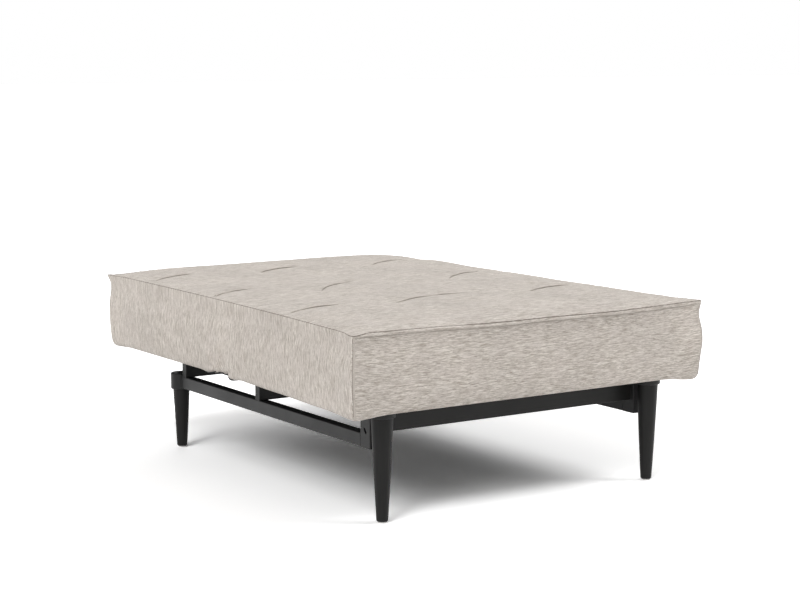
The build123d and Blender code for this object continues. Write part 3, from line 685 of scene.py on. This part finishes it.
# Materials
class Nodes:
    """Short calls for building one material."""

    def __init__(self, name):
        self.material = bpy.data.materials.new(name)
        self.material.use_nodes = True
        self.tree = self.material.node_tree
        self.shader = self.tree.nodes["Principled BSDF"]

    def add(self, kind, settings=None, **inputs):
        made = self.tree.nodes.new(kind)
        for key, value in (settings or {}).items():
            setattr(made, key, value)
        for key, value in inputs.items():
            self.feed(made.inputs[key.replace("_", " ")], value)
        return made

    def feed(self, socket, value):
        if isinstance(value, bpy.types.NodeSocket):
            self.tree.links.new(value, socket)
        else:
            socket.default_value = value

    def math(self, operation, first, second=0.0, third=0.0):
        made = self.tree.nodes.new("ShaderNodeMath")
        made.operation = operation
        for socket, value in zip(made.inputs, (first, second, third)):
            self.feed(socket, value)
        return made.outputs[0]

    def stretch(self, vector, scale):
        made = self.tree.nodes.new("ShaderNodeVectorMath")
        made.operation = "MULTIPLY"
        self.feed(made.inputs[0], vector)
        made.inputs[1].default_value = scale
        return made.outputs[0]

    def noise(self, vector, scale=1.0, detail=2.0, roughness=0.5):
        made = self.add("ShaderNodeTexNoise", Vector=vector, Scale=scale, Detail=detail, Roughness=roughness)
        return made.outputs["Fac"]

    def span(self, value, low, high, out_low=0.0, out_high=1.0):
        ends = {"From_Min": low, "From_Max": high, "To_Min": out_low, "To_Max": out_high}
        return self.add("ShaderNodeMapRange", Value=value, **ends).outputs[0]

    def mix(self, share, first, second, blend="MIX"):
        made = self.tree.nodes.new("ShaderNodeMix")
        made.data_type = "RGBA"
        made.blend_type = blend
        self.feed(made.inputs["Factor"], share)
        for socket, value in ((made.inputs[6], first), (made.inputs[7], second)):
            self.feed(socket, (*value, 1.0) if isinstance(value, tuple) else value)
        return made.outputs[2]

    def grey(self, level):
        return self.add("ShaderNodeCombineColor", Red=level, Green=level, Blue=level).outputs[0]

    def bump(self, height, distance, strength=1.0):
        made = self.add("ShaderNodeBump", Height=height, Distance=distance, Strength=strength)
        self.feed(self.shader.inputs["Normal"], made.outputs[0])

    def finish(self, colour, roughness, **constants):
        colour = (*colour, 1.0) if isinstance(colour, tuple) else colour
        self.feed(self.shader.inputs["Base Color"], colour)
        self.feed(self.shader.inputs["Roughness"], roughness)
        for key, value in constants.items():
            self.shader.inputs[key.replace("_", " ")].default_value = value
        return self.material


def fabric_material():
    """Beige-grey slub weave: short streaks along the weft over a fine plain weave."""
    dark_slub, light_slub = (0.365, 0.315, 0.268), (0.760, 0.708, 0.648)
    rosy_yarn, brown_fleck = (0.610, 0.545, 0.505), (0.300, 0.255, 0.215)
    dark_streak, pale_yarn = (0.270, 0.230, 0.195), (0.800, 0.765, 0.715)
    n = Nodes("cover_fabric")
    weave = n.add("ShaderNodeAttribute", {"attribute_name": "weave"}).outputs["Vector"]
    slub = n.noise(n.stretch(weave, (44, 600, 16)), detail=4.0, roughness=0.60)
    thread = n.noise(n.stretch(weave, (130, 640, 60)), detail=3.0, roughness=0.7)
    streak = n.noise(n.stretch(weave, (60, 640, 20)), detail=1.0)
    cloud = n.noise(weave, scale=7.0, detail=3.0)
    tint = n.noise(weave, scale=23.0, detail=2.0)
    colour = n.mix(n.span(slub, 0.372, 0.628), dark_slub, light_slub)
    colour = n.mix(n.span(tint, 0.35, 0.65, 0.0, 0.35), colour, rosy_yarn)
    colour = n.mix(n.span(thread, 0.56, 0.68, 0.0, 0.7), colour, brown_fleck)
    colour = n.mix(n.span(streak, 0.60, 0.68, 0.0, 0.6), colour, dark_streak)
    colour = n.mix(n.span(thread, 0.44, 0.32, 0.0, 0.5), colour, pale_yarn)
    colour = n.mix(1.0, colour, n.grey(n.span(cloud, 0.3, 0.7, 0.94, 1.06)), "MULTIPLY")
    warp = n.add("ShaderNodeTexWave", {"bands_direction": "X"}, Vector=weave, Scale=210.0, Distortion=1.2)
    weft = n.add("ShaderNodeTexWave", {"bands_direction": "Y"}, Vector=weave, Scale=170.0, Distortion=1.6)
    height = n.math("MULTIPLY_ADD", warp.outputs["Fac"], 0.35, n.math("MULTIPLY", weft.outputs["Fac"], 0.5))
    height = n.math("ADD", height, n.math("MULTIPLY", slub, 1.6))
    n.bump(height, 0.0009, 0.55)
    rough = n.span(slub, 0.3, 0.7, 0.96, 0.86)
    return n.finish(colour, rough, Specular_IOR_Level=0.25, Sheen_Weight=0.15, Sheen_Roughness=0.5)


def lacquer_material(name, stretch, colour=(0.0080, 0.0078, 0.0075), grain=0.00006, gloss=0.165):
    """Black satin finish with faint grain and slightly rubbed edges."""
    n = Nodes(name)
    place = n.add("ShaderNodeTexCoord").outputs["Object"]
    lines = n.noise(n.stretch(place, stretch), detail=4.0, roughness=0.6)
    cloud = n.noise(place, scale=16.0, detail=3.0)
    wear = n.span(n.add("ShaderNodeNewGeometry").outputs["Pointiness"], 0.53, 0.62, 0.0, 0.5)
    base = n.mix(n.span(lines, 0.35, 0.7), colour, tuple(1.45 * c for c in colour))
    base = n.mix(wear, base, tuple(3.2 * c for c in colour))
    rough = n.math("ADD", n.span(cloud, 0.3, 0.7, 0.36, 0.46), n.math("MULTIPLY", lines, 0.05))
    n.bump(lines, grain)
    return n.finish(base, rough, Specular_IOR_Level=gloss)


def speckled_material(name, first, second, roughness, scale, metallic=0.0, bump=0.0001):
    """A plain material whose tone and gloss vary with a fine noise."""
    n = Nodes(name)
    place = n.add("ShaderNodeTexCoord").outputs["Object"]
    grain = n.noise(place, scale=scale, detail=4.0)
    n.bump(grain, bump)
    rough = n.span(grain, 0.3, 0.7, roughness - 0.06, roughness + 0.06)
    return n.finish(n.mix(n.span(grain, 0.35, 0.65), first, second), rough, Metallic=metallic)


def dress_nodes():
    """Gives every CAD node the finish of its kind."""
    leg = lacquer_material("black_leg", (160, 160, 9))
    # The frame's black is lighter than the legs' and boards': partly its own paint, partly a painted sheen
    # of the light on its sides.
    frame_paint_and_sheen = lacquer_material("black_frame", (90, 90, 90), (0.0098, 0.0098, 0.0098), 0.00003, 0.235)
    board = lacquer_material("black_board", (7, 150, 150))
    steel = speckled_material("zinc_steel", (0.42, 0.43, 0.44), (0.60, 0.61, 0.62), 0.38, 900, 1.0)
    wire = speckled_material("spring_steel", (0.30, 0.30, 0.31), (0.46, 0.46, 0.47), 0.42, 1200, 1.0)
    foam = speckled_material("foam", (0.78, 0.71, 0.52), (0.88, 0.82, 0.64), 0.95, 600, bump=0.0008)
    felt = speckled_material("felt", (0.30, 0.30, 0.29), (0.50, 0.49, 0.48), 0.97, 400, bump=0.0006)
    cloth = speckled_material("dust_cloth", (0.012,) * 3, (0.03,) * 3, 0.9, 1500, bump=0.0003)
    glide = speckled_material("glide_plastic", (0.62, 0.61, 0.59), (0.72, 0.71, 0.69), 0.55, 500)
    rubber = speckled_material("buffer_rubber", (0.02,) * 3, (0.04,) * 3, 0.75, 700)
    wood = speckled_material("dowel_wood", (0.50, 0.37, 0.22), (0.66, 0.52, 0.35), 0.6, 300)
    by_slot = {
        "black_leg": leg, "black_board": board, "black_collar": frame_paint_and_sheen, "black_frame": frame_paint_and_sheen,
        "black_fastener": frame_paint_and_sheen, "frame_steel": frame_paint_and_sheen, "zinc_steel": steel, "spring_steel": wire,
        "foam": foam, "felt": felt, "dust_cloth": cloth, "glide_plastic": glide,
        "buffer_rubber": rubber, "dowel_wood": wood,
    }
    slots = {row["node"]: row["material_slot"] for row in frame["record"]["subparts"]}
    for name, node in frame["nodes"].items():
        finish = by_slot.get(slots[name])
        if finish is not None:
            node.data.materials.clear()
            node.data.materials.append(finish)


def build_soft_parts():
    """The mattress with its welt, seams, stitches, pleats and hem."""
    fabric = fabric_material()
    # The seam colour is thread darkened with painted shade of the seam's crease.
    thread = speckled_material("seam_shade", (0.20, 0.175, 0.15), (0.30, 0.265, 0.235), 0.95, 900)
    # The painted shade colour, for the shadow line under the welt and the sewn lines under the pleats' laps.
    shade = speckled_material("pleat_shade", (0.36, 0.32, 0.28), (0.45, 0.41, 0.37), 0.95, 900)
    lining = speckled_material("lining_edge", (0.014,) * 3, (0.028,) * 3, 0.9, 1500)
    body = mattress()
    tree = surface_of(body)
    frames = tuft_frames(tree)
    edge = perimeter(220, 280)
    upper = seam_line(tree, [*edge, edge[0]], UPPER_SEAM, UPPER_TILT)
    welts = [seam_line(tree, end_shares(v), WELT) for v in (-1, 1)]
    lower = [seam_line(tree, end_shares(v), WELT_SHADOW_LINE) for v in (-1, 1)]
    corners = [corner_seam(tree, a, b) for a in (-1, 1) for b in (-1, 1)]
    stitches = [stitch for line in corners for stitch in corner_stitches(line)]
    hems = [fold_hem(tree, side) for side in (-1, 1)]
    threads = pleat_threads(frames)
    pieces = [
        (body, fabric),
        (tube("mattress_welt", welts, welt_radii, 10), fabric),
        # The upper seam: thread with the painted shadow of the gap between the top panel and the welt.
        (tube("upper_seam_shade", [upper], stitched_radii), thread),
        # A dark tube of painted shadow under the welt, not a seam.
        (tube("painted_welt_shadow", lower, lower_radii), shade),
        # Corner seams and their stitches: thread darkened with painted shade of the seam.
        (tube("corner_seam_shade", corners, even_radii(CORNER_SEAM_RADIUS)), thread),
        (tube("corner_stitches", stitches, even_radii(STITCH_RADIUS)), thread),
        # The pleats' sewn lines, drawn dark with the painted shade of the laps' undercut.
        (tube("tuft_thread_shade", threads, faded_radii(*THREAD_RADII)), shade),
        (pleats(frames), fabric),
        (tube("fold_hem", hems, faded_radii(*HEM_RADII)), lining),
    ]
    for piece, finish in pieces:
        piece.data.materials.append(finish)
        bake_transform(piece)
    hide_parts("seat_cover", "back_cover", "mattress_fold")


# Stage and light
FLOOR_HALF = 40.0
FLOOR_TONE = 0.92
FLOOR_SEEN = 1.53
SURROUND_LIGHT = 0.305

# Soft lamps round the object: azimuth and elevation, and the share of the light on level faces
RING_LAMPS = (
    (60, 50, 0.192), (-60, 50, 0.182), (-60, 35, 0.122), (-90, 35, 0.064), (60, 35, 0.043),
    (110, 40, 0.084), (150, 35, 0.070),
)
RING_SPREAD = 22

# Low lamp for the left side: strength, azimuth, elevation and spread
FILL_LAMP = (0.27, -53, 10, 30)

# The photograph's view, solved from its vanishing points
CAMERA_PLACE = (-2.405, -3.690, 0.963)
CAMERA_DOWN = 7.77
CAMERA_TURN = -33.5
FOCAL_PIXELS = 1901.0
IMAGE_WIDTH = 800.0
SENSOR_WIDTH = 36.0


def background_ray(tree):
    """1 for a ray that shows the background itself: seen, mirrored or through glass."""
    path = tree.nodes.new("ShaderNodeLightPath")
    seen = path.outputs["Is Camera Ray"]
    for kind in ("Is Glossy Ray", "Is Transmission Ray"):
        either = tree.nodes.new("ShaderNodeMath")
        either.operation = "MAXIMUM"
        tree.links.new(seen, either.inputs[0])
        tree.links.new(path.outputs[kind], either.inputs[1])
        seen = either.outputs[0]
    return seen


def build_floor():
    """A plain white floor that keeps the shadow."""
    mesh = bpy.data.meshes.new("floor")
    corners = [(x * FLOOR_HALF, y * FLOOR_HALF, 0) for x, y in ((-1, -1), (1, -1), (1, 1), (-1, 1))]
    mesh.from_pydata(corners, [], [(0, 1, 2, 3)])
    floor = new_object("floor", mesh)
    n = Nodes("floor_white")
    white = n.mix(background_ray(n.tree), (FLOOR_TONE,) * 3, (FLOOR_SEEN,) * 3)
    floor.data.materials.append(n.finish(white, 0.9, Specular_IOR_Level=0.0))


def build_world():
    """An even white surround that lights the object softly."""
    world = bpy.data.worlds.new("studio")
    bpy.context.scene.world = world
    world.use_nodes = True
    tree = world.node_tree
    level = tree.nodes.new("ShaderNodeMapRange")
    tree.links.new(background_ray(tree), level.inputs["Value"])
    level.inputs["To Min"].default_value = SURROUND_LIGHT
    level.inputs["To Max"].default_value = 1.0
    background = tree.nodes["Background"]
    tree.links.new(level.outputs[0], background.inputs["Strength"])
    background.inputs["Color"].default_value = (1, 1, 1, 1)


def sun(name, strength, azimuth, elevation, spread):
    """A soft distant lamp that shines from an azimuth round +Z, 0 at -Y and 90 at +X."""
    data = bpy.data.lights.new(name, "SUN")
    data.energy = strength
    data.angle = math.radians(spread)
    lamp = new_object(name, data)
    a, e = math.radians(azimuth), math.radians(elevation)
    towards = Vector((math.sin(a) * math.cos(e), -math.cos(a) * math.cos(e), math.sin(e)))
    lamp.rotation_mode = "QUATERNION"
    lamp.rotation_quaternion = towards.to_track_quat("Z", "Y")


def build_lamps():
    for azimuth, elevation, share in RING_LAMPS:
        strength = math.pi * share / math.sin(math.radians(elevation))
        sun(f"ring_sun_{azimuth % 360}_{elevation}", strength, azimuth, elevation, RING_SPREAD)
    sun("fill_sun", *FILL_LAMP)


def build_camera():
    data = bpy.data.cameras.new("camera")
    data.sensor_width = SENSOR_WIDTH
    data.sensor_fit = "HORIZONTAL"
    data.lens = FOCAL_PIXELS / IMAGE_WIDTH * SENSOR_WIDTH
    camera = new_object("camera", data)
    camera.location = CAMERA_PLACE
    camera.rotation_euler = (math.radians(90 - CAMERA_DOWN), 0, math.radians(CAMERA_TURN))
    bpy.context.scene.camera = camera


build_camera()
build_floor()
build_world()
build_lamps()
bpy.context.scene.view_settings.view_transform = "Standard"
dress_nodes()
build_soft_parts()
